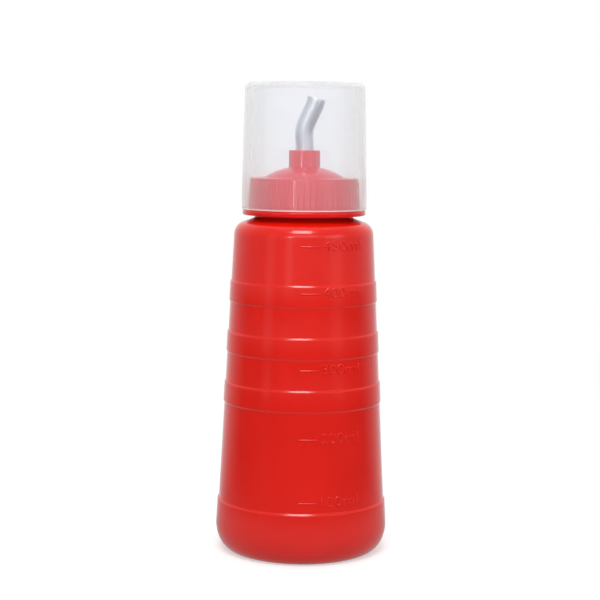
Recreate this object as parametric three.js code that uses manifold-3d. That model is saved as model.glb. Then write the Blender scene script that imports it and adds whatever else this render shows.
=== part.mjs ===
// Squeeze bottle for sauce: a blown red bottle, a screw lid with a bent steel spout,
// a sealing ring under the lid and a frosted cover that stands over the spout.
// Millimetres, +Z up, origin at the centre of the underside, graduations facing -Y.

import * as THREE from 'three';
import { mergeVertices } from 'three/addons/utils/BufferGeometryUtils.js';
import Module from 'manifold-3d';

const wasm = await Module();
wasm.setup();

// Fits shared by neighbouring pieces
const seatGap = 0.3; // between a piece and the face that it rests on
const threadClearance = 0.4; // between a thread crest and the wall that it faces
const spoutClearance = 0.2; // round the steel tube in its socket

// Bottle: straight tapering side, rounded heel and shoulder
const footRadius = 37.73; // the side's taper carried down to the underside
const sideTaper = 0.0519; // radius lost for each millimetre of height
const bottleWall = 1.4;
const heelWidth = 7.8;
const heelHeight = 12;
const standingWidth = 3.4; // flat ring that the bottle stands on
const pushUp = 3.2; // height of the dished underside at its centre
const shoulderStart = 139.5;
const shoulderRadius = 6;
const shoulderSlope = 20; // degrees, from the rounded shoulder up to the neck

// Raised bands round the side
const baseBandTop = 23.4;
const baseBandRise = 0.6;
const bandCount = 3;
const bandFirst = 66.3; // lower edge of the lowest of the upper bands
const bandSpacing = 22.15;
const bandWidth = 9.3;
const bandRise = 0.45;
const bandBlend = 0.9; // height of the rounded step at a band's edge

// Neck and screw thread
const neckRadius = 21.4;
const neckWall = 1.7;
const neckHeight = 14.5;
const rimChamfer = 0.4;
const threadPitch = 4;
const threadTurns = 1.5;
const threadHeight = 1.1;
const threadRoot = 2.2; // width of the thread at its root, just inside the wall
const threadCrest = 1.1;
const threadBelowRim = 3.5; // from the rim to the middle of the thread's top end

// Graduations on the front, in millilitres
const graduations = [100, 200, 300, 400, 450];
const tickLength = 8;
const tickStart = -1; // along the surface, from the front centre line
const tickHeight = 0.6;
const tickRise = 0.3;

// Sealing ring
const sealThickness = 0.8;
const sealWidth = 2.2;

// Screw lid
const lidWall = 1.5;
const lidTop = 1.4;
const skirtDepth = 14.7; // from the underside of the lid's top to the skirt's lower edge
const skirtDraft = 0.8; // how much slimmer the skirt is at its top
const skirtCorner = 0.9;
const ribCount = 60;
const ribHeight = 0.4; // from the plain skirt to a rib's crest
const ribRoot = 0.1; // from the plain skirt to the groove between two ribs
const ribInset = 0.5; // plain stretch above the flange and below the top corner
const flangeReach = 2.1; // flange beyond the ribs
const flangeThickness = 2.2;
const flangeEdge = 0.4;
const domeRadius = 17.8; // where the dome leaves the flat top
const domeCurvature = 32.5;
const collarRadius = 6.85;
const collarHeight = 7.4;
const collarEdge = 0.3;
const spigotDepth = 2.5; // ring that holds the seal in the lid
const spigotWall = 1.2;
const socketLedge = 1.2; // thickness of the ledge that the spout stands on

// Spout: steel tube, bent twice after it leaves the collar
const spoutRadius = 4;
const spoutWall = 0.5;
const spoutBendRadius = 15;
const footRun = 8; // upright in the collar
const backLean = 5; // degrees, away from the mouth's side
const backRun = 2.5;
const frontLean = 25; // degrees, towards it
const frontRun = 6;
const tipLean = 15; // degrees
const tipRun = 2;

// Cover
const coverWall = 1;
const coverOverhang = 0.3; // cover beyond the flange
const coverHeight = 55.3;
const coverDraft = 1.1; // how much slimmer the cover is at its top
const coverCorner = 2.6;
const coverCrown = 0.6; // rise of the top's middle

// Faces in a full turn
const turnFaces = 44;

// Heights and radii that follow from the sizes above
const rad = THREE.MathUtils.degToRad;
const sideRadiusAt = (z) => footRadius - sideTaper * z;
const heelRadius = sideRadiusAt(heelHeight) + baseBandRise;
const standingOuter = heelRadius - heelWidth;
const standingInner = standingOuter - standingWidth;
const shoulderCentre = sideRadiusAt(shoulderStart) - shoulderRadius;
const shoulderEnd = rad(90 - shoulderSlope);
const neckRoot = shoulderStart + shoulderRadius * Math.sin(shoulderEnd)
  + (shoulderCentre + shoulderRadius * Math.cos(shoulderEnd) - neckRadius) * Math.tan(rad(shoulderSlope));
const rimZ = neckRoot + neckHeight;
const neckInner = neckRadius - neckWall;
const threadOuter = neckRadius + threadHeight;
const threadLow = rimZ - threadBelowRim - threadPitch * threadTurns;

const sealZ = rimZ + seatGap;
const spigotOuter = neckInner - threadClearance;
const sealInner = spigotOuter + seatGap;

const skirtInner = threadOuter + threadClearance;
const skirtOuter = skirtInner + lidWall;
const lidUnderside = sealZ + sealThickness + seatGap;
const lidTopZ = lidUnderside + lidTop;
const skirtLow = lidUnderside - skirtDepth;
const flangeTop = skirtLow + flangeThickness;
const flangeRadius = skirtOuter + ribHeight + flangeReach;
const domeCentreZ = lidTopZ - Math.sqrt(domeCurvature ** 2 - domeRadius ** 2);
const domeHeightAt = (r, curvature) => domeCentreZ + Math.sqrt(curvature ** 2 - r ** 2);
const innerCurvature = domeCurvature - lidTop;
const innerDomeRadius = Math.sqrt(innerCurvature ** 2 - (lidUnderside - domeCentreZ) ** 2);
const spoutBore = spoutRadius - spoutWall;
const socketRadius = spoutRadius + spoutClearance;
const ledgeZ = domeHeightAt(spoutBore, innerCurvature) + socketLedge;
const collarTop = domeHeightAt(collarRadius, domeCurvature) + collarHeight;
const spoutLow = ledgeZ + seatGap;
const spoutRuns = [
  { lean: 0, length: footRun },
  { lean: -backLean, length: backRun },
  { lean: frontLean, length: frontRun },
  { lean: tipLean, length: tipRun },
];

const coverZ = flangeTop + seatGap;
const coverRadius = flangeRadius + coverOverhang;
const coverTopRadius = coverRadius - coverDraft;
const coverTop = coverZ + coverHeight;

// Finishes
const redPlastic = new THREE.MeshStandardMaterial({ color: 0xdc231a, roughness: 0.42, metalness: 0 });
const lidPlastic = new THREE.MeshStandardMaterial({ color: 0xd81f1c, roughness: 0.35, metalness: 0 });
const steel = new THREE.MeshStandardMaterial({ color: 0xc3c6ca, roughness: 0.28, metalness: 1 });
const frosted = new THREE.MeshStandardMaterial({
  color: 0xf1f2f2,
  roughness: 0.35,
  metalness: 0,
  transparent: true,
  opacity: 0.4,
});
const silicone = new THREE.MeshStandardMaterial({ color: 0xe9e7e1, roughness: 0.6, metalness: 0 });

const at = (r, z) => new THREE.Vector2(r, z);

// Points of a rounded stretch, from one angle to another in degrees about (r, z).
function arc(r, z, width, height, from, to, steps) {
  const points = [];
  for (let i = 0; i <= steps; i += 1) {
    const angle = rad(from + (to - from) * i / steps);
    points.push(at(r + width * Math.cos(angle), z + height * Math.sin(angle)));
  }
  return points;
}

// A profile turned about the Z axis.
function turned(profile) {
  return new THREE.LatheGeometry(profile, turnFaces).rotateX(Math.PI / 2);
}

// A closed geometry as a solid that can be joined and cut.
function asSolid(geometry) {
  const bare = geometry.clone();
  bare.deleteAttribute('normal');
  bare.deleteAttribute('uv');
  const merged = mergeVertices(bare, 1e-4);
  const corners = merged.index.array;
  const kept = [];
  for (let i = 0; i < corners.length; i += 3) {
    const [a, b, c] = corners.slice(i, i + 3);
    if (a !== b && b !== c && c !== a) {
      kept.push(a, b, c);
    }
  }
  return new wasm.Manifold(new wasm.Mesh({
    numProp: 3,
    vertProperties: merged.attributes.position.array,
    triVerts: new Uint32Array(kept),
  }));
}

function asGeometry(solid) {
  const mesh = solid.getMesh();
  const geometry = new THREE.BufferGeometry();
  geometry.setAttribute('position', new THREE.BufferAttribute(mesh.vertProperties, 3));
  geometry.setIndex(new THREE.BufferAttribute(mesh.triVerts, 1));
  geometry.computeVertexNormals();
  return geometry;
}

// A straight bar with its section in (radius, height), bent round the Z axis.
// place(along) gives the angle, the lift and the share of the section's depth at 0 to 1 along it.
// The bar is laid out from its far end, because bending it turns its section over.
function bentBar(section, steps, wallRadius, place) {
  const bar = new THREE.ExtrudeGeometry(new THREE.Shape(section), {
    depth: 1,
    steps,
    bevelEnabled: false,
  });
  const position = bar.attributes.position;
  for (let i = 0; i < position.count; i += 1) {
    const { angle, lift, depth } = place(1 - position.getZ(i));
    const radius = wallRadius + (position.getX(i) - wallRadius) * depth;
    position.setXYZ(i, radius * Math.cos(angle), radius * Math.sin(angle), position.getY(i) + lift);
  }
  return asSolid(bar);
}

// A screw thread whose section grows from wallRadius to crestRadius, rooted in the wall.
function thread(wallRadius, crestRadius, low) {
  const rootDepth = 0.4;
  const outward = Math.sign(crestRadius - wallRadius);
  const root = wallRadius - outward * rootDepth;
  const section = [
    at(root, -threadRoot / 2),
    at(crestRadius, -threadCrest / 2),
    at(crestRadius, threadCrest / 2),
    at(root, threadRoot / 2),
  ];
  const fade = 0.06;
  const flat = 0.15;
  const faces = Math.round(turnFaces * threadTurns);
  return bentBar(section, faces, root, (along) => ({
    angle: (along * faces + 0.5) * 2 * Math.PI / turnFaces,
    lift: low + along * faces / turnFaces * threadPitch,
    depth: Math.min(1, flat + Math.min(along, 1 - along) / fade),
  }));
}

// The raised bands round the outside, from the top of the base band upwards.
function bandSteps() {
  const points = [
    at(sideRadiusAt(baseBandTop - bandBlend) + baseBandRise, baseBandTop - bandBlend),
    at(sideRadiusAt(baseBandTop), baseBandTop),
  ];
  for (let i = 0; i < bandCount; i += 1) {
    const low = bandFirst + i * bandSpacing;
    const high = low + bandWidth;
    points.push(at(sideRadiusAt(low), low));
    points.push(at(sideRadiusAt(low + bandBlend) + bandRise, low + bandBlend));
    points.push(at(sideRadiusAt(high - bandBlend) + bandRise, high - bandBlend));
    points.push(at(sideRadiusAt(high), high));
  }
  return points;
}

// The bottle's surface from the axis below to the neck, moved in by inset.
// The inside runs straight behind the bands, which are thicker there.
function bottleSurface(inset, middle, roundSteps) {
  const points = [];
  const dishSteps = 3;
  for (let i = 0; i <= dishSteps; i += 1) {
    const r = standingInner * i / dishSteps;
    points.push(at(r, inset + pushUp * (1 - (r / standingInner) ** 2)));
  }
  points.push(...arc(standingOuter, heelHeight, heelWidth - inset, heelHeight - inset, -90, 0, roundSteps));
  points.push(...middle);
  const corner = shoulderRadius - inset;
  points.push(...arc(shoulderCentre, shoulderStart, corner, corner, 0, 90 - shoulderSlope, roundSteps));
  const last = points[points.length - 1];
  const radius = inset > 0 ? neckInner : neckRadius;
  points.push(at(radius, last.y + (last.x - radius) * Math.tan(rad(shoulderSlope))));
  return points;
}

const bottleOutside = bottleSurface(0, bandSteps(), 6);
const bottleInside = bottleSurface(bottleWall, [at(sideRadiusAt(baseBandTop) - bottleWall, baseBandTop)], 4);

// Radius of a surface where it crosses a height.
function radiusAt(surface, z) {
  const next = surface.findIndex((point, i) => i > 0 && point.y >= z && surface[i - 1].y < z);
  const [below, above] = [surface[next - 1], surface[next]];
  return below.x + (above.x - below.x) * (z - below.y) / (above.y - below.y);
}

// Heights at which the inside holds each marked volume, found by adding up thin slices.
function graduationHeights() {
  const slices = 2000;
  const heights = [];
  const dishVolume = Math.PI * standingInner ** 2 * pushUp / 2;
  const step = (shoulderStart - bottleWall) / slices;
  let volume = -dishVolume;
  for (let i = 0; i < slices && heights.length < graduations.length; i += 1) {
    const z = bottleWall + (i + 0.5) * step;
    volume += Math.PI * radiusAt(bottleInside, z) ** 2 * step;
    if (volume >= graduations[heights.length] * 1000) {
      heights.push(z);
    }
  }
  return heights;
}

// A short raised line on the front, following the surface.
function tick(z) {
  const wall = radiusAt(bottleOutside, z);
  const sunk = 0.5;
  const section = [
    at(wall - sunk, -tickHeight / 2),
    at(wall + tickRise, -tickHeight / 4),
    at(wall + tickRise, tickHeight / 4),
    at(wall - sunk, tickHeight / 2),
  ];
  return bentBar(section, 2, wall - sunk, (along) => ({
    angle: -Math.PI / 2 + (tickStart + along * tickLength) / wall,
    lift: z,
    depth: 1,
  }));
}

function bottle() {
  const wall = [
    ...bottleOutside,
    at(neckRadius, rimZ - rimChamfer),
    at(neckRadius - rimChamfer, rimZ),
    at(neckInner, rimZ),
    ...bottleInside.slice().reverse(),
  ];
  let solid = asSolid(turned(wall));
  solid = solid.add(thread(neckRadius, threadOuter, threadLow));
  for (const z of graduationHeights()) {
    solid = solid.add(tick(z));
  }
  return asGeometry(solid);
}

function lidSeal() {
  const outer = sealInner + sealWidth;
  const top = sealZ + sealThickness;
  return turned([
    at(sealInner, sealZ),
    at(outer, sealZ),
    at(outer, top),
    at(sealInner, top),
    at(sealInner, sealZ),
  ]);
}

// Points along the dome between two radii.
function domeArc(from, to, curvature, steps) {
  const points = [];
  for (let i = 0; i <= steps; i += 1) {
    const r = from + (to - from) * i / steps;
    points.push(at(r, domeHeightAt(r, curvature)));
  }
  return points;
}

// The grip ribs as one ribbed ring round the skirt, slimmer at its top like the skirt.
function gripRibs(low, high) {
  const outline = [];
  const pitch = 2 * Math.PI / ribCount;
  const crestShare = 0.3;
  const rootShare = 0.25;
  for (let i = 0; i < ribCount; i += 1) {
    const middle = i * pitch;
    const corners = [
      [skirtOuter + ribRoot, -0.5 + rootShare / 2],
      [skirtOuter + ribHeight, -crestShare / 2],
      [skirtOuter + ribHeight, crestShare / 2],
      [skirtOuter + ribRoot, 0.5 - rootShare / 2],
    ];
    for (const [radius, share] of corners) {
      const angle = middle + share * pitch;
      outline.push(at(radius * Math.cos(angle), radius * Math.sin(angle)));
    }
  }
  const ring = new THREE.Shape(outline);
  ring.holes.push(new THREE.Path().absarc(0, 0, skirtOuter - lidWall / 2, 0, 2 * Math.PI, true));
  const ribs = new THREE.ExtrudeGeometry(ring, {
    depth: high - low,
    bevelEnabled: false,
    curveSegments: turnFaces / 2,
  });
  const position = ribs.attributes.position;
  for (let i = 0; i < position.count; i += 1) {
    const z = low + position.getZ(i);
    const draft = (skirtOuter - skirtDraft * (z - flangeTop) / (lidTopZ - flangeTop)) / skirtOuter;
    position.setXYZ(i, position.getX(i) * draft, position.getY(i) * draft, z);
  }
  return asSolid(ribs);
}

function screwLid() {
  const cornerRadius = skirtOuter - skirtDraft - skirtCorner;
  const profile = [
    at(skirtInner, skirtLow),
    at(flangeRadius - flangeEdge, skirtLow),
    at(flangeRadius, skirtLow + flangeEdge),
    at(flangeRadius, flangeTop - flangeEdge),
    at(flangeRadius - flangeEdge, flangeTop),
    at(skirtOuter, flangeTop),
    ...arc(cornerRadius, lidTopZ - skirtCorner, skirtCorner, skirtCorner, 0, 90, 3),
    ...domeArc(domeRadius, collarRadius, domeCurvature, 5),
    at(collarRadius, collarTop - collarEdge),
    at(collarRadius - collarEdge, collarTop),
    at(socketRadius, collarTop),
    at(socketRadius, ledgeZ),
    at(spoutBore, ledgeZ),
    ...domeArc(spoutBore, innerDomeRadius, innerCurvature, 5),
    at(spigotOuter - spigotWall, lidUnderside),
    at(spigotOuter - spigotWall, lidUnderside - spigotDepth),
    at(spigotOuter - rimChamfer, lidUnderside - spigotDepth),
    at(spigotOuter, lidUnderside - spigotDepth + rimChamfer),
    at(spigotOuter, lidUnderside),
    at(skirtInner, lidUnderside),
    at(skirtInner, skirtLow),
  ];
  const shell = asSolid(turned(profile));
  const ribs = gripRibs(flangeTop + ribInset, lidTopZ - skirtCorner - ribInset);
  const innerThread = thread(skirtInner, neckRadius + threadClearance, threadLow - threadPitch / 2);
  return asGeometry(shell.add(ribs).add(innerThread));
}

// The spout's centre line: straight runs joined by bends of one radius, in the XZ plane.
function spoutPath() {
  const points = [new THREE.Vector3(0, 0, spoutLow)];
  const stepAngle = 5;
  let lean = 0;
  for (const run of spoutRuns) {
    const steps = Math.ceil(Math.abs(run.lean - lean) / stepAngle);
    const turn = (run.lean - lean) / Math.max(steps, 1);
    for (let i = 0; i < steps; i += 1) {
      const chord = 2 * spoutBendRadius * Math.sin(rad(Math.abs(turn)) / 2);
      const middle = rad(lean + turn / 2);
      points.push(points[points.length - 1].clone().add(
        new THREE.Vector3(Math.sin(middle) * chord, 0, Math.cos(middle) * chord),
      ));
      lean += turn;
    }
    const direction = new THREE.Vector3(Math.sin(rad(run.lean)), 0, Math.cos(rad(run.lean)));
    for (const share of [0.5, 1]) {
      points.push(points[points.length - 1].clone().addScaledVector(direction, run.length * 0.5));
    }
  }
  return new THREE.CatmullRomCurve3(points);
}

function spout() {
  const section = new THREE.Shape().absarc(0, 0, spoutRadius, 0, 2 * Math.PI, false);
  section.holes.push(new THREE.Path().absarc(0, 0, spoutBore, 0, 2 * Math.PI, true));
  return new THREE.ExtrudeGeometry(section, {
    extrudePath: spoutPath(),
    steps: 26,
    curveSegments: 9,
    bevelEnabled: false,
  });
}

function cover() {
  const crownStart = coverTop - coverCrown;
  const cornerOuter = coverTopRadius - coverCorner;
  const inner = coverCorner - coverWall;
  return turned([
    at(coverRadius - coverWall, coverZ),
    at(coverRadius, coverZ),
    ...arc(cornerOuter, crownStart - coverCorner, coverCorner, coverCorner, 0, 90, 5),
    at(cornerOuter / 2, coverTop - coverCrown / 4),
    at(0, coverTop),
    at(0, coverTop - coverWall),
    at(cornerOuter / 2, coverTop - coverCrown / 4 - coverWall),
    ...arc(cornerOuter, crownStart - coverCorner, inner, inner, 90, 0, 4),
    at(coverRadius - coverWall, coverZ),
  ]);
}

function piece(name, geometry, material) {
  const mesh = new THREE.Mesh(geometry, material);
  mesh.name = name;
  return mesh;
}

const sauceBottle = new THREE.Group();
sauceBottle.add(piece('bottle', bottle(), redPlastic));
sauceBottle.add(piece('lid_seal', lidSeal(), silicone));
sauceBottle.add(piece('screw_lid', screwLid(), lidPlastic));
sauceBottle.add(piece('spout', spout(), steel));
sauceBottle.add(piece('cover', cover(), frosted));

export default sauceBottle;
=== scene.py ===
# Squeeze bottle for sauce, dressed and lit as in a plain studio shot.
# Sizes of the pieces and the camera's place are in millimetres.
# The scene itself and the sizes of the studio are in metres.
import math

import bpy
from mathutils import Matrix, Vector


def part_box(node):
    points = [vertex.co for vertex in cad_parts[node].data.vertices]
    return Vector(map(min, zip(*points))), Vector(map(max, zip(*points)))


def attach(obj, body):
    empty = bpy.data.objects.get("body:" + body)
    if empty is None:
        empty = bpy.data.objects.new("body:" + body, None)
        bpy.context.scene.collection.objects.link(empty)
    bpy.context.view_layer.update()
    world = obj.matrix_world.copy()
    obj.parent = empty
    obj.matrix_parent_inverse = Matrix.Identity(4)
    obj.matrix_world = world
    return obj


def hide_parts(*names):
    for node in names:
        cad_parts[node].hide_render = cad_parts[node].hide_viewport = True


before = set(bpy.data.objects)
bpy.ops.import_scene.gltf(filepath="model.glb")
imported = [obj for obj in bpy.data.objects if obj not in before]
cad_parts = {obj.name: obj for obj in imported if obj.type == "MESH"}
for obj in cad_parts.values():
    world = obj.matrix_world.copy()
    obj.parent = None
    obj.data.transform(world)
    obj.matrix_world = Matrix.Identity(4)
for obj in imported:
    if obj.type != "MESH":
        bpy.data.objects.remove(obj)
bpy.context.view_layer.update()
mm = 0.001
print("frame loaded")


# Small helpers for editing

def deselectAll():
    bpy.ops.object.select_all(action="DESELECT")


def makeActive(piece):
    deselectAll()
    piece.select_set(True)
    bpy.context.view_layer.objects.active = piece


def editMode(piece, selectMode="VERT"):
    makeActive(piece)
    bpy.ops.object.mode_set(mode="EDIT")
    bpy.ops.mesh.select_mode(type=selectMode)
    bpy.ops.mesh.select_all(action="DESELECT")


def objectMode():
    bpy.ops.object.mode_set(mode="OBJECT")


def selectEdges(piece, test):  # test gets the two end points of an edge
    editMode(piece, "EDGE")
    objectMode()
    mesh = piece.data
    for edge in mesh.edges:
        ends = [mesh.vertices[i].co for i in edge.vertices]
        edge.select = test(ends[0], ends[1])
    bpy.ops.object.mode_set(mode="EDIT")


def applyModifiers(piece):
    makeActive(piece)
    for modifier in list(piece.modifiers):
        bpy.ops.object.modifier_apply(modifier=modifier.name)


def roundEdges(piece, width, limit):  # a small bevel along every sharp edge
    bevel = piece.modifiers.new("rounding", "BEVEL")
    bevel.width = width * mm
    bevel.segments = 3
    bevel.angle_limit = math.radians(limit)
    applyModifiers(piece)


def settle(piece, smoothAngle=35):  # object back to the origin, smooth where it is round
    makeActive(piece)
    bpy.ops.object.transform_apply(location=True, rotation=True, scale=True)
    bpy.ops.object.shade_smooth_by_angle(angle=math.radians(smoothAngle))


def joinInto(target, others):
    makeActive(target)
    for other in others:
        other.select_set(True)
    bpy.context.view_layer.objects.active = target
    bpy.ops.object.join()


def placePiece(piece, body, slot, *nodes):
    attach(piece, body)
    if nodes:
        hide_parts(*nodes)


# Outlines are lists of (radius, height) in millimetres

def arcPoints(r, z, width, height, start, end, steps):
    points = []
    for i in range(steps + 1):
        angle = math.radians(start + (end - start) * i / steps)
        points.append((r + width * math.cos(angle), z + height * math.sin(angle)))
    return points


def roundCorners(corners, steps=5):  # each corner is (radius, height, fillet)
    points = []
    for i, (r, z, fillet) in enumerate(corners):
        here = Vector((r, z))
        if fillet <= 0 or i == 0 or i == len(corners) - 1:
            points.append((r, z))
            continue
        back = Vector(corners[i - 1][:2]) - here
        ahead = Vector(corners[i + 1][:2]) - here
        half = back.angle(ahead) / 2
        if half > math.radians(89.5):  # straight on, so there is nothing to round
            points.append((r, z))
            continue
        reach = min(fillet / math.tan(half), 0.49 * back.length, 0.49 * ahead.length)
        radius = reach * math.tan(half)
        towards = (back.normalized() + ahead.normalized()).normalized()
        middle = here + towards * (radius / math.sin(half))
        first = here + back.normalized() * reach - middle
        last = here + ahead.normalized() * reach - middle
        sweep = first.angle_signed(last)
        for k in range(steps + 1):
            turned = first.copy()
            turned.rotate(Matrix.Rotation(-sweep * k / steps, 2))
            points.append(tuple(middle + turned))
    return points


def turnOutline(name, outline, steps):  # one vertex is drawn along the outline, then spun
    start = outline[0]
    bpy.ops.mesh.primitive_plane_add(size=mm, location=(start[0] * mm, 0, start[1] * mm))
    piece = bpy.context.object
    piece.name = name
    bpy.ops.object.transform_apply(location=True)
    editMode(piece)
    bpy.ops.mesh.select_all(action="SELECT")
    bpy.ops.mesh.merge(type="CENTER")
    for (r0, z0), (r1, z1) in zip(outline, outline[1:]):
        move = ((r1 - r0) * mm, 0, (z1 - z0) * mm)
        bpy.ops.mesh.extrude_vertices_move(TRANSFORM_OT_translate={"value": move})
    bpy.ops.mesh.select_all(action="SELECT")
    bpy.ops.mesh.spin(steps=steps, angle=2 * math.pi, center=(0, 0, 0), axis=(0, 0, 1))
    bpy.ops.mesh.select_all(action="SELECT")
    bpy.ops.mesh.remove_doubles(threshold=2e-6)
    bpy.ops.mesh.normals_make_consistent(inside=False)
    objectMode()
    return piece


def screwThread(name, wallRadius, crestRadius, low, size):  # a bead wound round the axis
    sunk = math.copysign(size["sunk"], crestRadius - wallRadius)
    root = (wallRadius - sunk) * mm
    crest = crestRadius * mm
    bpy.ops.mesh.primitive_plane_add(size=1, location=(0, 0, 0))
    piece = bpy.context.object
    piece.name = name
    corners = [
        (root, 0, (low - size["rootWidth"] / 2) * mm),
        (crest, 0, (low - size["crestWidth"] / 2) * mm),
        (crest, 0, (low + size["crestWidth"] / 2) * mm),
        (root, 0, (low + size["rootWidth"] / 2) * mm),
    ]
    order = [0, 1, 3, 2]  # a plane's vertices run in rows
    for vertex, corner in zip(order, corners):
        piece.data.vertices[vertex].co = corner
    editMode(piece, "EDGE")
    bpy.ops.mesh.select_all(action="SELECT")
    bpy.ops.mesh.delete(type="ONLY_FACE")
    objectMode()
    screw = piece.modifiers.new("wind", "SCREW")
    screw.angle = size["turns"] * 2 * math.pi
    screw.screw_offset = size["turns"] * size["pitch"] * mm
    screw.steps = round(size["turns"] * size["stepsPerTurn"])
    applyModifiers(piece)
    top = low + size["turns"] * size["pitch"]
    for vertex in piece.data.vertices:  # the bead grows out of the wall at both ends
        r = math.hypot(vertex.co.x, vertex.co.y)
        if abs(r - crest) > 1e-5:
            continue
        climbed = (vertex.co.z / mm - low) / (top - low)
        fromEnd = size["fadeShift"] + min(climbed, 1 - climbed)
        share = min(1, fromEnd / size["fadeLength"])
        wanted = root + (crest - root) * max(share, size["leastShare"])
        vertex.co.x *= wanted / r
        vertex.co.y *= wanted / r
    editMode(piece, "EDGE")
    bpy.ops.mesh.select_non_manifold()
    bpy.ops.mesh.edge_face_add()
    bpy.ops.mesh.select_all(action="SELECT")
    bpy.ops.mesh.normals_make_consistent(inside=False)
    objectMode()
    return piece


# Shared thread of neck and lid
threadSize = {
    "pitch": 4,
    "turns": 1.5,
    "rootWidth": 2.2,
    "crestWidth": 1.1,
    "depth": 1.1,  # of the neck's bead
    "sunk": 0.35,  # the bead starts this far inside the wall
    "belowRim": 3.5,
    "clearance": 0.4,
    "fadeShift": 0.05,  # shares of the climb over which a bead grows to its full height
    "fadeLength": 0.06,
    "leastShare": 0.1,
    "stepsPerTurn": 96,
}


def threadLow():  # the height at which the neck's thread starts
    t = threadSize
    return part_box("bottle")[1].z / mm - t["belowRim"] - t["pitch"] * t["turns"]


# Bottle

bottleSize = {
    "foot": 37.73,  # radius of the taper carried down to the table
    "taper": 0.0519,
    "wall": 1.4,
    "heelWidth": 7.8,
    "heelHeight": 12,
    "standing": 3.4,
    "dishRoll": 0.8,  # width and height of the roll between the dish and the standing ring
    "dishRollHeight": 0.5,
    "dishRollSteps": 3,
    "pushUp": 3.2,
    "shoulderStart": 139.5,
    "shoulder": 6,
    "slope": 20,
    "baseBandTop": 23.4,
    "baseBandRise": 0.6,
    "bandLow": 65.9,
    "bandSpacing": 22.15,
    "bandWidth": 9.7,
    "bandRise": 0.45,
    "step": 0.75,  # height of the step at a band's edge
    "ridge": 0.7,  # fillets on the outer and in the inner corner of a step
    "groove": 0.5,
    "neck": 21.4,
    "neckWall": 1.7,
    "neckFillets": (1.2, 0.5, 0.4, 1.0),  # root, rim outside, rim inside, root inside
    "dishSteps": 14,
    "heelSteps": 18,
    "shoulderSteps": 12,
    "steps": 192,
}


def sideRadius(z):
    return bottleSize["foot"] - bottleSize["taper"] * z


def bottleLower(inset):  # from the axis under the dish to the top of the heel
    s = bottleSize
    outer = sideRadius(s["heelHeight"]) + s["baseBandRise"] - s["heelWidth"]
    inner = outer - s["standing"]
    shares = [i / s["dishSteps"] for i in range(s["dishSteps"] - 1)]
    dish = [(inner * share, inset + s["pushUp"] * (1 - share ** 2)) for share in shares]
    edge = [(inner, inset)]
    if inset == 0:
        roll, rollHeight = s["dishRoll"], s["dishRollHeight"]
        edge = arcPoints(inner - roll / 2, rollHeight, roll, rollHeight,
                         -120, -90, s["dishRollSteps"])
    heel = arcPoints(outer, s["heelHeight"], s["heelWidth"] - inset, s["heelHeight"] - inset,
                     -90, 0, s["heelSteps"])
    return dish + edge + heel


def bottleUpper(inset):  # shoulder and the slope up to the neck
    s = bottleSize
    centre = sideRadius(s["shoulderStart"]) - s["shoulder"]
    corner = s["shoulder"] - inset
    points = arcPoints(centre, s["shoulderStart"], corner, corner,
                       0, 90 - s["slope"], s["shoulderSteps"])
    neck = s["neck"] if inset == 0 else s["neck"] - s["neckWall"]
    r, z = points[-1]
    root = (neck, z + (r - neck) * math.tan(math.radians(s["slope"])))
    return points, root


def bandCorners():
    s = bottleSize
    step = s["step"]
    top = s["baseBandTop"]
    corners = [
        (sideRadius(s["heelHeight"]) + s["baseBandRise"], s["heelHeight"], 0),
        (sideRadius(top - step) + s["baseBandRise"], top - step, s["ridge"]),
        (sideRadius(top), top, s["groove"]),
    ]
    for i in range(3):
        low = s["bandLow"] + i * s["bandSpacing"]
        high = low + s["bandWidth"]
        corners += [
            (sideRadius(low), low, s["groove"]),
            (sideRadius(low + step) + s["bandRise"], low + step, s["ridge"]),
            (sideRadius(high - step) + s["bandRise"], high - step, s["ridge"]),
            (sideRadius(high), high, s["groove"]),
        ]
    corners.append((sideRadius(s["shoulderStart"]), s["shoulderStart"], 0))
    return corners


def makeBottle():
    s = bottleSize
    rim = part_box("bottle")[1].z / mm
    shoulder, neckRoot = bottleUpper(0)
    innerShoulder, innerRoot = bottleUpper(s["wall"])
    root, rimOutside, rimInside, rootInside = s["neckFillets"]
    neck = roundCorners([
        (*shoulder[-1], 0),
        (*neckRoot, root),
        (s["neck"], rim, rimOutside),
        (s["neck"] - s["neckWall"], rim, rimInside),
        (*innerRoot, rootInside),
        (*innerShoulder[-1], 0),
    ])
    outline = bottleLower(0)[:-1] + roundCorners(bandCorners())[:-1] + shoulder[:-1] + neck
    outline += innerShoulder[::-1][1:] + bottleLower(s["wall"])[::-1]
    bottle = turnOutline("bottle_shell", outline, s["steps"])
    crest = s["neck"] + threadSize["depth"]
    joinInto(bottle, [screwThread("neck_thread", s["neck"], crest, threadLow(), threadSize)])
    settle(bottle)
    return bottle


# Raised graduations on the front: a short line and its figure, both low rounded ridges

graduationSize = {
    "marks": [  # figure, height of its line
        ("100ml", 27.75),
        ("200ml", 54.7),
        ("300ml", 84.0),
        ("400ml", 116.4),
        ("450ml", 136.2),
    ],
    "lineStart": -1.3,
    "lineLength": 8.1,
    "lineRadius": 0.45,
    "lineSides": 16,
    "lineCuts": 8,  # so that the line can follow the round wall
    "lineEnds": 0.3,
    "rise": 0.3,
    "figureStart": 8.3,
    "figureWidth": 15.8,
    "figureHeight": 4.3,
    "figureLift": 0.5,
    "figureRound": 0.2,
    "figureThickness": 0.1,
    "letterSize": 6,
    "letterThinning": -0.17,
}


def surfaceRadius(z):
    s = bottleSize
    for i in range(3):
        low = s["bandLow"] + i * s["bandSpacing"]
        if low < z < low + s["bandWidth"]:
            return sideRadius(z) + s["bandRise"]
    return sideRadius(z)


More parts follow.
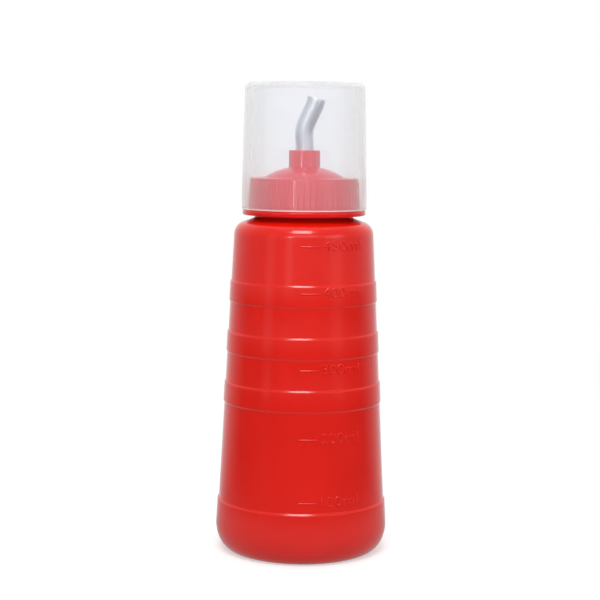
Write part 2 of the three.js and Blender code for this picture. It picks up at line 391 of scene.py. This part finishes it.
def layOnBottle(piece, z):  # a flat piece in XY, raised along Z, is carried straight onto the front
    radius = surfaceRadius(z)
    for vertex in piece.data.vertices:
        x, y, depth = vertex.co / mm
        r = radius - bottleSize["taper"] * y
        front = math.sqrt(r ** 2 - x ** 2)
        vertex.co = Vector((x + depth * x / r, -front - depth * front / r, z + y)) * mm


def makeTick(z):
    g = graduationSize
    bpy.ops.mesh.primitive_cylinder_add(vertices=g["lineSides"], radius=g["lineRadius"] * mm,
                                        depth=g["lineLength"] * mm)
    tick = bpy.context.object
    tick.rotation_euler = (0, math.radians(90), 0)
    tick.location.x = (g["lineStart"] + g["lineLength"] / 2) * mm
    tick.location.z = (g["rise"] - g["lineRadius"]) * mm
    bpy.ops.object.transform_apply(location=True, rotation=True, scale=True)
    selectEdges(tick, lambda a, b: abs(a.x - b.x) > g["lineLength"] / 2 * mm)
    bpy.ops.mesh.subdivide(number_cuts=g["lineCuts"])
    objectMode()
    roundEdges(tick, g["lineEnds"], limit=60)
    layOnBottle(tick, z)
    return tick


def makeFigure(text, z):
    g = graduationSize
    bpy.ops.object.text_add(location=(0, 0, 0))
    figure = bpy.context.object
    letters = figure.data
    letters.body = text
    letters.size = g["letterSize"] * mm
    letters.offset = g["letterThinning"] * mm
    letters.extrude = g["figureThickness"] * mm
    letters.bevel_depth = g["figureRound"] * mm
    letters.bevel_resolution = 3
    letters.resolution_u = 6
    bpy.ops.object.convert(target="MESH")
    figure = bpy.context.object
    corners = [vertex.co for vertex in figure.data.vertices]
    left, right = min(c.x for c in corners), max(c.x for c in corners)
    bottom, top = min(c.y for c in corners), max(c.y for c in corners)
    for vertex in figure.data.vertices:
        across = (vertex.co.x - left) / (right - left)
        up = (vertex.co.y - bottom) / (top - bottom) - 0.5
        vertex.co.x = (g["figureStart"] + across * g["figureWidth"]) * mm
        vertex.co.y = (g["figureLift"] + up * g["figureHeight"]) * mm
        vertex.co.z += (g["rise"] - g["figureThickness"] - g["figureRound"]) * mm
    editMode(figure)
    bpy.ops.mesh.select_all(action="SELECT")
    bpy.ops.mesh.remove_doubles(threshold=1e-6)
    bpy.ops.mesh.normals_make_consistent(inside=False)
    objectMode()
    layOnBottle(figure, z)
    return figure


def makeGraduations():
    pieces = []
    for text, z in graduationSize["marks"]:
        pieces += [makeTick(z), makeFigure(text, z)]
    marks = pieces[0]
    marks.name = "graduations"
    joinInto(marks, pieces[1:])
    settle(marks, smoothAngle=50)
    return marks


# Sealing ring in the lid

sealSize = {
    "width": 2.2,
    "fillet": 0.2,
    "filletSteps": 3,
    "steps": 128,
}


def makeSeal():
    s = sealSize
    low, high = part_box("lid_seal")
    outer = high.x / mm
    inner = outer - s["width"]
    bottom = low.z / mm
    top = high.z / mm
    middle = (inner, (bottom + top) / 2, 0)
    around = [(inner, bottom), (outer, bottom), (outer, top), (inner, top)]
    corners = [middle, *((r, z, s["fillet"]) for r, z in around), middle]
    ring = turnOutline("sealing_ring", roundCorners(corners, s["filletSteps"]), s["steps"])
    settle(ring)
    return ring


# Screw lid

lidSize = {
    "wall": 1.5,
    "top": 1.4,
    "skirtInner": 22.9,
    "skirtDraft": 0.8,
    "skirtCorner": 0.6,
    "skirtFillets": (0.3, 0.4, 0.4),  # mouth, above the flange, inside at the top
    "seam": 4,  # height inside the skirt at which the outline starts and ends
    "overSeal": 0.3,
    "flange": 2.2,
    "flangeEdge": 0.5,
    "dome": 17.8,
    "curvature": 32.5,
    "domeSteps": 24,
    "domeStepsInside": 16,
    "collar": 6.85,
    "collarFoot": 0.5,  # the dome ends this far from the collar, where the foot's fillet starts
    "collarFillets": (0.5, 0.45, 0.25, 0.1),  # foot, rim outside, rim inside, ledge
    "socket": 4.06,
    "bore": 3.5,
    "ledge": 1.2,
    "spigot": 19.3,
    "spigotWall": 1.2,
    "spigotDepth": 2.5,
    "spigotFillets": (0.2, 0.3, 0.4, 0.1),  # root inside, end inside, end outside, root outside
    "ribs": 60,
    "ribHeight": 0.12,
    "ribWidth": 1.1,
    "ribFlatness": 0.9,
    "ribSides": 20,
    "ribShortening": 2.2,
    "ribEnds": 0.3,
    "steps": 180,
}


def domeHeight(r, centre, curvature):
    return centre + math.sqrt(curvature ** 2 - r ** 2)


def domePoints(start, end, centre, curvature, steps):
    points = []
    for i in range(steps + 1):
        r = start + (end - start) * i / steps
        points.append((r, domeHeight(r, centre, curvature)))
    return points


def makeRibs(skirt, flangeTop, top):  # low grip ribs round the skirt
    s = lidSize
    bpy.ops.mesh.primitive_cylinder_add(vertices=s["ribSides"], radius=s["ribWidth"] / 2 * mm,
                                        depth=(top - flangeTop - s["ribShortening"]) * mm)
    rib = bpy.context.object
    rib.scale.x = s["ribFlatness"]
    tilt = math.atan(s["skirtDraft"] / (top - flangeTop))
    rib.rotation_euler = (0, -tilt, 0)
    sunk = s["ribWidth"] / 2 * s["ribFlatness"] - s["ribHeight"]
    reach = skirt - s["skirtDraft"] / 2 - sunk
    rib.location = (reach * mm, 0, (flangeTop + top - s["skirtCorner"]) / 2 * mm)
    bpy.ops.object.transform_apply(location=True, rotation=True, scale=True)
    roundEdges(rib, s["ribEnds"], limit=60)
    ribs = [rib]
    for i in range(1, s["ribs"]):
        makeActive(rib)
        bpy.ops.object.duplicate()
        copy = bpy.context.object
        copy.rotation_euler.z = 2 * math.pi * i / s["ribs"]
        bpy.ops.object.transform_apply(rotation=True)
        ribs.append(copy)
    return ribs


def makeLid():
    s = lidSize
    low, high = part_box("screw_lid")
    bottom = low.z / mm
    collarTop = high.z / mm
    flange = high.x / mm
    skirt = s["skirtInner"] + s["wall"]
    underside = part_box("lid_seal")[1].z / mm + s["overSeal"]
    top = underside + s["top"]
    flangeTop = bottom + s["flange"]
    centre = top - math.sqrt(s["curvature"] ** 2 - s["dome"] ** 2)
    innerCurve = s["curvature"] - s["top"]
    innerDome = math.sqrt(innerCurve ** 2 - (underside - centre) ** 2)
    ledge = domeHeight(s["bore"], centre, innerCurve) + s["ledge"]
    mouth, aboveFlange, insideTop = s["skirtFillets"]
    outside = roundCorners([
        (s["skirtInner"], bottom + s["seam"], 0),
        (s["skirtInner"], bottom, mouth),
        (flange, bottom, s["flangeEdge"]),
        (flange, flangeTop, s["flangeEdge"]),
        (skirt, flangeTop, aboveFlange),
        (skirt - s["skirtDraft"], top, s["skirtCorner"]),
        (s["dome"], top, 0),
    ])
    domeEnd = s["collar"] + s["collarFoot"]
    dome = domePoints(s["dome"], domeEnd, centre, s["curvature"], s["domeSteps"])
    foot = domeHeight(s["collar"], centre, s["curvature"])
    footFillet, rimOutside, rimInside, ledgeFillet = s["collarFillets"]
    collar = roundCorners([
        (*dome[-1], 0),
        (s["collar"], foot, footFillet),
        (s["collar"], collarTop, rimOutside),
        (s["socket"], collarTop, rimInside),
        (s["socket"], ledge, ledgeFillet),
        (s["bore"], ledge, ledgeFillet),
        (s["bore"], domeHeight(s["bore"], centre, innerCurve), 0),
    ])
    underneath = domePoints(s["bore"], innerDome, centre, innerCurve, s["domeStepsInside"])
    rootInside, endInside, endOutside, rootOutside = s["spigotFillets"]
    inside = roundCorners([
        (innerDome, underside, 0),
        (s["spigot"] - s["spigotWall"], underside, rootInside),
        (s["spigot"] - s["spigotWall"], underside - s["spigotDepth"], endInside),
        (s["spigot"], underside - s["spigotDepth"], endOutside),
        (s["spigot"], underside, rootOutside),
        (s["skirtInner"], underside, insideTop),
        (s["skirtInner"], bottom + s["seam"], 0),
    ])
    outline = outside[:-1] + dome[:-1] + collar[:-1] + underneath[:-1] + inside
    lid = turnOutline("lid_shell", outline, s["steps"])
    ribs = makeRibs(skirt, flangeTop, top)
    start = threadLow() - threadSize["pitch"] / 2
    crest = bottleSize["neck"] + threadSize["clearance"]
    joinInto(lid, ribs + [screwThread("lid_thread", s["skirtInner"], crest, start, threadSize)])
    settle(lid)
    return lid


# Spout: a steel tube, drawn up from its foot and bent twice

spoutSize = {
    "radius": 4,
    "wall": 0.5,
    "bend": 15,
    "runs": [(0, 8), (-5, 2.5), (25, 6), (15, 2)],  # lean in degrees, length
    "lip": 0.16,
    "sides": 72,
    "stepAngle": 1.5,
}


def makeSpout():
    s = spoutSize
    foot = Vector((0, 0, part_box("spout")[0].z))
    bpy.ops.mesh.primitive_circle_add(vertices=s["sides"], radius=s["radius"] * mm, location=foot)
    spout = bpy.context.object
    spout.name = "spout_tube"
    bpy.ops.object.transform_apply(location=True)
    editMode(spout, "EDGE")
    bpy.ops.mesh.select_all(action="SELECT")
    here = foot
    lean = 0
    for nextLean, length in s["runs"]:
        turn = nextLean - lean
        if turn:
            side = 1 if turn > 0 else -1
            angle = math.radians(lean)
            centre = here + Vector((math.cos(angle), 0, -math.sin(angle))) * side * s["bend"] * mm
            steps = max(2, round(abs(turn) / s["stepAngle"]))
            bpy.ops.mesh.spin(steps=steps, angle=math.radians(abs(turn)), center=centre,
                              axis=(0, -side, 0))  # spin turns against its axis
            here = centre + Matrix.Rotation(math.radians(turn), 3, "Y") @ (here - centre)
            lean = nextLean
        run = Vector((math.sin(math.radians(lean)), 0, math.cos(math.radians(lean)))) * length * mm
        bpy.ops.mesh.extrude_region_move(TRANSFORM_OT_translate={"value": run})
        here = here + run
    bpy.ops.mesh.select_all(action="SELECT")
    bpy.ops.mesh.remove_doubles(threshold=1e-7)
    bpy.ops.mesh.normals_make_consistent(inside=False)
    objectMode()
    wall = spout.modifiers.new("wall", "SOLIDIFY")
    wall.thickness = s["wall"] * mm
    wall.offset = -1
    roundEdges(spout, s["lip"], limit=50)
    settle(spout, smoothAngle=40)
    return spout


# Cover

coverSize = {
    "wall": 1,
    "draft": 1.1,
    "corner": 2.6,
    "crown": 0.6,
    "rim": 8,  # height of the first, almost upright part above the cut edge
    "rimDraft": 0.05,
    "rimDraftInside": 0.02,
    "edgeOutside": 0.15,
    "edgeInside": 0.2,
    "crownSteps": 8,
    "cornerSteps": 10,
    "cornerStepsInside": 8,
    "steps": 160,
}


def makeCover():
    s = coverSize
    low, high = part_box("cover")
    bottom = low.z / mm
    top = high.z / mm
    radius = high.x / mm
    topRadius = radius - s["draft"]
    crownFoot = top - s["crown"]
    flat = topRadius - s["corner"]
    inner = s["corner"] - s["wall"]
    shares = [i / s["crownSteps"] for i in range(s["crownSteps"] + 1)]
    crown = [(flat * (1 - share), crownFoot + s["crown"] * math.sin(math.pi / 2 * share))
             for share in shares]
    crownInside = [(r, z - s["wall"]) for r, z in crown[::-1]]
    rim = roundCorners([
        (radius - s["wall"] - s["rimDraftInside"], bottom + s["rim"], 0),
        (radius - s["wall"], bottom, s["edgeInside"]),
        (radius, bottom, s["edgeOutside"]),
        (radius - s["rimDraft"], bottom + s["rim"], 0),
    ])
    cornerFoot = crownFoot - s["corner"]
    corner = arcPoints(flat, cornerFoot, s["corner"], s["corner"], 0, 90, s["cornerSteps"])
    innerCorner = arcPoints(flat, cornerFoot, inner, inner, 90, 0, s["cornerStepsInside"])
    outline = crown[::-1] + corner[::-1][1:] + rim[::-1]
    outline += innerCorner[::-1] + crownInside[::-1][1:]
    cover = turnOutline("cover_shell", outline, s["steps"])
    settle(cover)
    return cover


bottle = makeBottle()
placePiece(bottle, "bottle_body", "bottle_plastic", "bottle")
print("bottle made")
graduations = makeGraduations()
placePiece(graduations, "bottle_body", "bottle_plastic")
print("graduations made")
seal = makeSeal()
placePiece(seal, "seal_body", "seal_silicone", "lid_seal")
lid = makeLid()
placePiece(lid, "lid_body", "lid_plastic", "screw_lid")
print("lid made")
spout = makeSpout()
placePiece(spout, "lid_body", "spout_steel", "spout")
cover = makeCover()
placePiece(cover, "cover_body", "cover_plastic", "cover")
print("spout and cover made")


# Materials

def linearColour(hexText, alpha=1.0):  # sRGB hex to linear
    channels = [int(hexText[i:i + 2], 16) / 255 for i in (1, 3, 5)]
    linear = [c / 12.92 if c <= 0.04045 else ((c + 0.055) / 1.055) ** 2.4 for c in channels]
    return (*linear, alpha)


def addNode(tree, kind, settings=None, links=None):
    node = tree.nodes.new(kind)
    for key, value in (settings or {}).items():
        if hasattr(node, key):
            setattr(node, key, value)
        else:
            node.inputs[key].default_value = value
    for key, source in (links or {}).items():
        tree.links.new(source, node.inputs[key])
    return node


def addMath(tree, operation, first, second):
    node = addNode(tree, "ShaderNodeMath", {"operation": operation})
    for i, value in enumerate((first, second)):
        if isinstance(value, (int, float)):
            node.inputs[i].default_value = value
        else:
            tree.links.new(value, node.inputs[i])
    return node.outputs[0]


def addNoise(tree, place, scale, detail):
    settings = {"Scale": scale, "Detail": detail}
    return addNode(tree, "ShaderNodeTexNoise", settings, {"Vector": place}).outputs["Fac"]


def addRange(tree, value, low, high, start=0.0, end=1.0):  # start gives low, end gives high
    settings = {"From Min": start, "From Max": end, "To Min": low, "To Max": high}
    return addNode(tree, "ShaderNodeMapRange", settings, {"Value": value}).outputs["Result"]


def addTint(tree, value, colours, ends=(0.0, 1.0)):
    ramp = addNode(tree, "ShaderNodeValToRGB", {}, {"Fac": value})
    for element, hexText, position in zip(ramp.color_ramp.elements, colours, ends):
        element.position = position
        element.color = linearColour(hexText)
    return ramp.outputs["Color"]


def addBump(tree, height, strength, distance):
    settings = {"Strength": strength, "Distance": distance}
    return addNode(tree, "ShaderNodeBump", settings, {"Height": height}).outputs["Normal"]


def addShader(tree, settings, links):
    shader = addNode(tree, "ShaderNodeBsdfPrincipled", settings, links)
    addNode(tree, "ShaderNodeOutputMaterial", {}, {"Surface": shader.outputs["BSDF"]})


def stretchAlong(tree, place, share):  # draws a pattern out along Z
    settings = {"Scale": (1, 1, share)}
    return addNode(tree, "ShaderNodeMapping", settings, {"Vector": place}).outputs["Vector"]


def newMaterial(name):  # gives the material, its tree and the object's own coordinates
    material = bpy.data.materials.new(name)
    material.use_nodes = True
    tree = material.node_tree
    tree.nodes.clear()
    return material, tree, addNode(tree, "ShaderNodeTexCoord").outputs["Object"]


def dress(piece, material):
    piece.data.materials.clear()
    piece.data.materials.append(material)


# Blow-moulded polyethylene: even red, soft gloss, a faint orange peel and upright flow lines
def blownPolyethylene():
    material, tree, place = newMaterial("blown_polyethylene_red")
    flow = addNoise(tree, stretchAlong(tree, place, 0.06), scale=900, detail=3)
    peel = addNoise(tree, place, scale=1400, detail=2)
    cloud = addNoise(tree, place, scale=45, detail=3)
    addShader(tree, {"IOR": 1.5}, {
        "Base Color": addTint(tree, cloud, ("#dd1406", "#e31808"), (0.3, 0.7)),
        "Roughness": addRange(tree, cloud, 0.17, 0.21),
        "Normal": addBump(tree, addMath(tree, "ADD", flow, peel), strength=0.12, distance=0.00008),
    })
    return material


# Injection-moulded polypropylene: the same red, glossier and smoother than the bottle
def mouldedPolypropylene():
    material, tree, place = newMaterial("moulded_polypropylene_red")
    cloud = addNoise(tree, place, scale=120, detail=3)
    fine = addNoise(tree, place, scale=2200, detail=2)
    addShader(tree, {"IOR": 1.49}, {
        "Base Color": addTint(tree, cloud, ("#e01010", "#e61314"), (0.3, 0.7)),
        "Roughness": addRange(tree, cloud, 0.1, 0.14),
        "Normal": addBump(tree, fine, strength=0.06, distance=0.00005),
    })
    return material


# Drawn stainless tube: satin metal with fine lines along the tube, and a thin gloss from polishing
def drawnStainless():
    material, tree, place = newMaterial("drawn_stainless_steel")
    lines = addNoise(tree, stretchAlong(tree, place, 0.05), scale=4000, detail=3)
    smear = addNoise(tree, place, scale=220, detail=4)
    addShader(tree, {"Metallic": 1.0, "Coat Weight": 0.8, "Coat Roughness": 0.12}, {
        "Base Color": addTint(tree, lines, ("#e2e7ee", "#f0f4f8")),
        "Roughness": addRange(tree, smear, 0.46, 0.52),
        "Normal": addBump(tree, lines, strength=0.03, distance=0.00003),
    })
    return material


# Frosted polypropylene, thin wall: mostly lets light straight through, with a milky haze
# that grows where the wall is seen at a slant and passes a part of the light from behind
# Its colour is painted lighter where the wall is seen at a slant, as painted light from behind, and
# white along the cut edge, as a painted highlight.
frost = {
    "clear": (0.805, 0.795),  # share that one face lets straight through
    "slant": 1.25,  # nearer to 1 means more haze at the sides
    "edge": (0.35, 0.55),  # the painted white highlight of the cut edge ends between these heights
    "paintedEdgeHighlight": 0.85,
}


def frostedPolypropylene():
    material, tree, place = newMaterial("frosted_polypropylene")
    grain = addNoise(tree, place, scale=1800, detail=2)
    cloud = addNoise(tree, place, scale=60, detail=3)
    clear = addRange(tree, cloud, *frost["clear"])
    facing = addNode(tree, "ShaderNodeLayerWeight", {"Blend": 0.5}).outputs["Facing"]
    depth = addMath(tree, "DIVIDE", 1.0, addMath(tree, "SUBTRACT", frost["slant"], facing))
    haze = addMath(tree, "SUBTRACT", 1.0, addMath(tree, "POWER", clear, depth))
    height = addNode(tree, "ShaderNodeSeparateXYZ", {}, {0: place}).outputs["Z"]
    # Painted highlight: a white, opaque band along the cut edge at the bottom stands in for the
    # light the edge catches.
    start, end = [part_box("cover")[0].z + z * mm for z in frost["edge"]]
    rim = addRange(tree, height, frost["paintedEdgeHighlight"], 0.0, start, end)
    # Painted light: the haze colour is lighter where the wall is seen at a slant, standing in for
    # light from behind, and white at the cut edge as a painted highlight.
    white = addMath(tree, "MAXIMUM", facing, rim)
    addShader(tree, {"IOR": 1.49, "Transmission Weight": 0.4}, {
        "Base Color": addTint(tree, white, ("#dfe6f5", "#f8fdfc"), (0.0, 0.6)),
        "Alpha": addMath(tree, "MAXIMUM", haze, rim),
        "Roughness": addRange(tree, grain, 0.3, 0.4),
        "Normal": addBump(tree, grain, strength=0.02, distance=0.00003),
    })
    return material


# Moulded silicone: milky white and matt
def mouldedSilicone():
    material, tree, place = newMaterial("moulded_silicone")
    grain = addNoise(tree, place, scale=900, detail=2)
    addShader(tree, {"IOR": 1.41, "Roughness": 0.55}, {
        "Base Color": addTint(tree, grain, ("#dedbd3", "#eceae4")),
        "Normal": addBump(tree, grain, strength=0.1, distance=0.00005),
    })
    return material


polyethylene = blownPolyethylene()
dress(bottle, polyethylene)
dress(graduations, polyethylene)
dress(lid, mouldedPolypropylene())
dress(spout, drawnStainless())
dress(cover, frostedPolypropylene())
dress(seal, mouldedSilicone())
print("materials set")


# Studio

studio = {
    "floorSize": 12,
    "floorColour": "#cfcfcf",
    "floorGlow": 0.5,
    "fade": (0.15, 0.7),  # the floor turns into the white backdrop between these distances
    "room": 0.26,  # light from the room in front of the table
    "roomTurn": (-0.4, 0.8),  # over these values of Y it grows to the backdrop's
    "roomInReflections": 0.56,
    "floorInReflections": 0.11,
    "backInReflections": (0.1, 0.95),  # over these values of Y both grow to the backdrop's
    "nearInReflections": 0.6,  # strength of the painted glow of the floor beside the bottle, as seen in reflections
    "nearFade": (0.12, 0.34),  # it dims between these distances
    "lights": [  # name, place, width, depth, watts
        ("frontTop", (-0.04, -0.6, 0.93), 0.44, 0.37, 5.9),
        ("leftPanel", (-0.85, -0.62, 0.3), 0.25, 0.7, 0.2),
        ("rightPanel", (0.85, -0.62, 0.3), 0.35, 0.7, 0.2),
        ("frontPanel", (0.0, -0.78, 0.4), 0.7, 0.24, 0.7),
        ("spoutStrip", (-0.23, -0.55, 0.25), 0.03, 0.1, 0.18),
        ("overhead", (0.0, 0.1, 1.3), 1.2, 0.8, 1.5),
        ("spoutPanel", (0.6, -0.5, 0.34), 0.5, 0.24, 0.45),
    ],
    "target": (0, 0, 0.11),
}


def makeFloor():
    bpy.ops.mesh.primitive_plane_add(size=studio["floorSize"], location=(0, 0, 0))
    floor = bpy.context.object
    floor.name = "floor"
    material, tree, place = newMaterial("white_paper_floor")
    path = addNode(tree, "ShaderNodeLightPath")
    parts = addNode(tree, "ShaderNodeSeparateXYZ", {}, {0: place})
    length = {"operation": "LENGTH"}
    away = addNode(tree, "ShaderNodeVectorMath", length, {0: place}).outputs["Value"]
    fade = addRange(tree, away, 0.0, 1.0, *studio["fade"])
    # In reflections the floor is a painted glow instead of its lit colour: brightest beside the
    # bottle, dim in front and white behind.
    near = addRange(tree, away, studio["nearInReflections"], 0.0, *studio["nearFade"])
    turned = addMath(tree, "DIVIDE", parts.outputs["Y"], away)
    behind = addRange(tree, turned, studio["floorInReflections"], 1.0, *studio["backInReflections"])
    mirror = addMath(tree, "MAXIMUM", near, behind)
    paper = linearColour(studio["floorColour"])
    diffuse = addNode(tree, "ShaderNodeBsdfDiffuse", {"Color": paper})
    strength = addMath(tree, "MULTIPLY", path.outputs["Is Camera Ray"], studio["floorGlow"])
    glow = addNode(tree, "ShaderNodeEmission", {}, {"Strength": strength})
    lit = addNode(tree, "ShaderNodeAddShader", {}, {0: diffuse.outputs[0], 1: glow.outputs[0]})
    white = addNode(tree, "ShaderNodeEmission", {"Strength": 1.0})
    far = addMath(tree, "MULTIPLY", path.outputs["Is Camera Ray"], fade)
    seen = addNode(tree, "ShaderNodeMixShader", {}, {
        0: far,
        1: lit.outputs[0],
        2: white.outputs[0],
    })
    mirrored = addNode(tree, "ShaderNodeEmission", {}, {"Strength": mirror})
    both = addNode(tree, "ShaderNodeMixShader", {}, {
        0: path.outputs["Is Glossy Ray"],
        1: seen.outputs[0],
        2: mirrored.outputs[0],
    })
    addNode(tree, "ShaderNodeOutputMaterial", {}, {"Surface": both.outputs[0]})
    dress(floor, material)


def makeWorld():  # white behind the bottle, and a dimmer room in front of it
    world = bpy.data.worlds.new("studio")
    bpy.context.scene.world = world
    world.use_nodes = True
    tree = world.node_tree
    tree.nodes.clear()
    path = addNode(tree, "ShaderNodeLightPath")
    direction = addNode(tree, "ShaderNodeTexCoord").outputs["Generated"]
    parts = addNode(tree, "ShaderNodeSeparateXYZ", {}, {0: direction})
    turned = parts.outputs["Y"]
    room = addRange(tree, turned, studio["room"], 1.0, *studio["roomTurn"])
    roomMirrored = addRange(tree, turned, studio["roomInReflections"], 1.0,
                            *studio["backInReflections"])
    white = {"Color": (1, 1, 1, 1)}
    backdrop = addNode(tree, "ShaderNodeBackground", white)
    plain = addNode(tree, "ShaderNodeBackground", white, {"Strength": room})
    mirrored = addNode(tree, "ShaderNodeBackground", white, {"Strength": roomMirrored})
    light = addNode(tree, "ShaderNodeMixShader", {}, {
        0: path.outputs["Is Glossy Ray"],
        1: plain.outputs[0],
        2: mirrored.outputs[0],
    })
    straight, through = path.outputs["Is Camera Ray"], path.outputs["Is Transmission Ray"]
    mix = addNode(tree, "ShaderNodeMixShader", {}, {
        0: addMath(tree, "MAXIMUM", straight, through),
        1: light.outputs[0],
        2: backdrop.outputs[0],
    })
    addNode(tree, "ShaderNodeOutputWorld", {}, {"Surface": mix.outputs[0]})


def makeLights():
    target = Vector(studio["target"])
    for name, place, width, depth, watts in studio["lights"]:
        bpy.ops.object.light_add(type="AREA", location=place)
        lamp = bpy.context.object
        lamp.name = name
        lamp.data.shape = "RECTANGLE"
        lamp.data.size = width
        lamp.data.size_y = depth
        lamp.data.energy = watts
        lamp.rotation_euler = (target - Vector(place)).to_track_quat("-Z", "Y").to_euler()


# Camera: seen from a little above, slightly rolled as the photograph is

cameraView = {
    "distance": 694,
    "height": 183.6,
    "aside": -1.35,
    "pitch": 6,
    "roll": 0.6,
    "lens": 95.16,
}


def makeCamera():
    c = cameraView
    place = Vector((c["aside"], -c["distance"], c["height"])) * mm
    bpy.ops.object.camera_add(location=place)
    camera = bpy.context.object
    look = Matrix.Rotation(math.radians(90 - c["pitch"]), 3, "X")
    roll = Matrix.Rotation(math.radians(c["roll"]), 3, "Z")
    camera.rotation_euler = (look @ roll).to_euler()
    camera.data.lens = c["lens"]
    camera.data.sensor_width = 36
    camera.data.clip_start = 0.01
    bpy.context.scene.camera = camera


makeFloor()
makeWorld()
makeLights()
makeCamera()
bpy.context.scene.view_settings.view_transform = "Standard"
print("studio set")
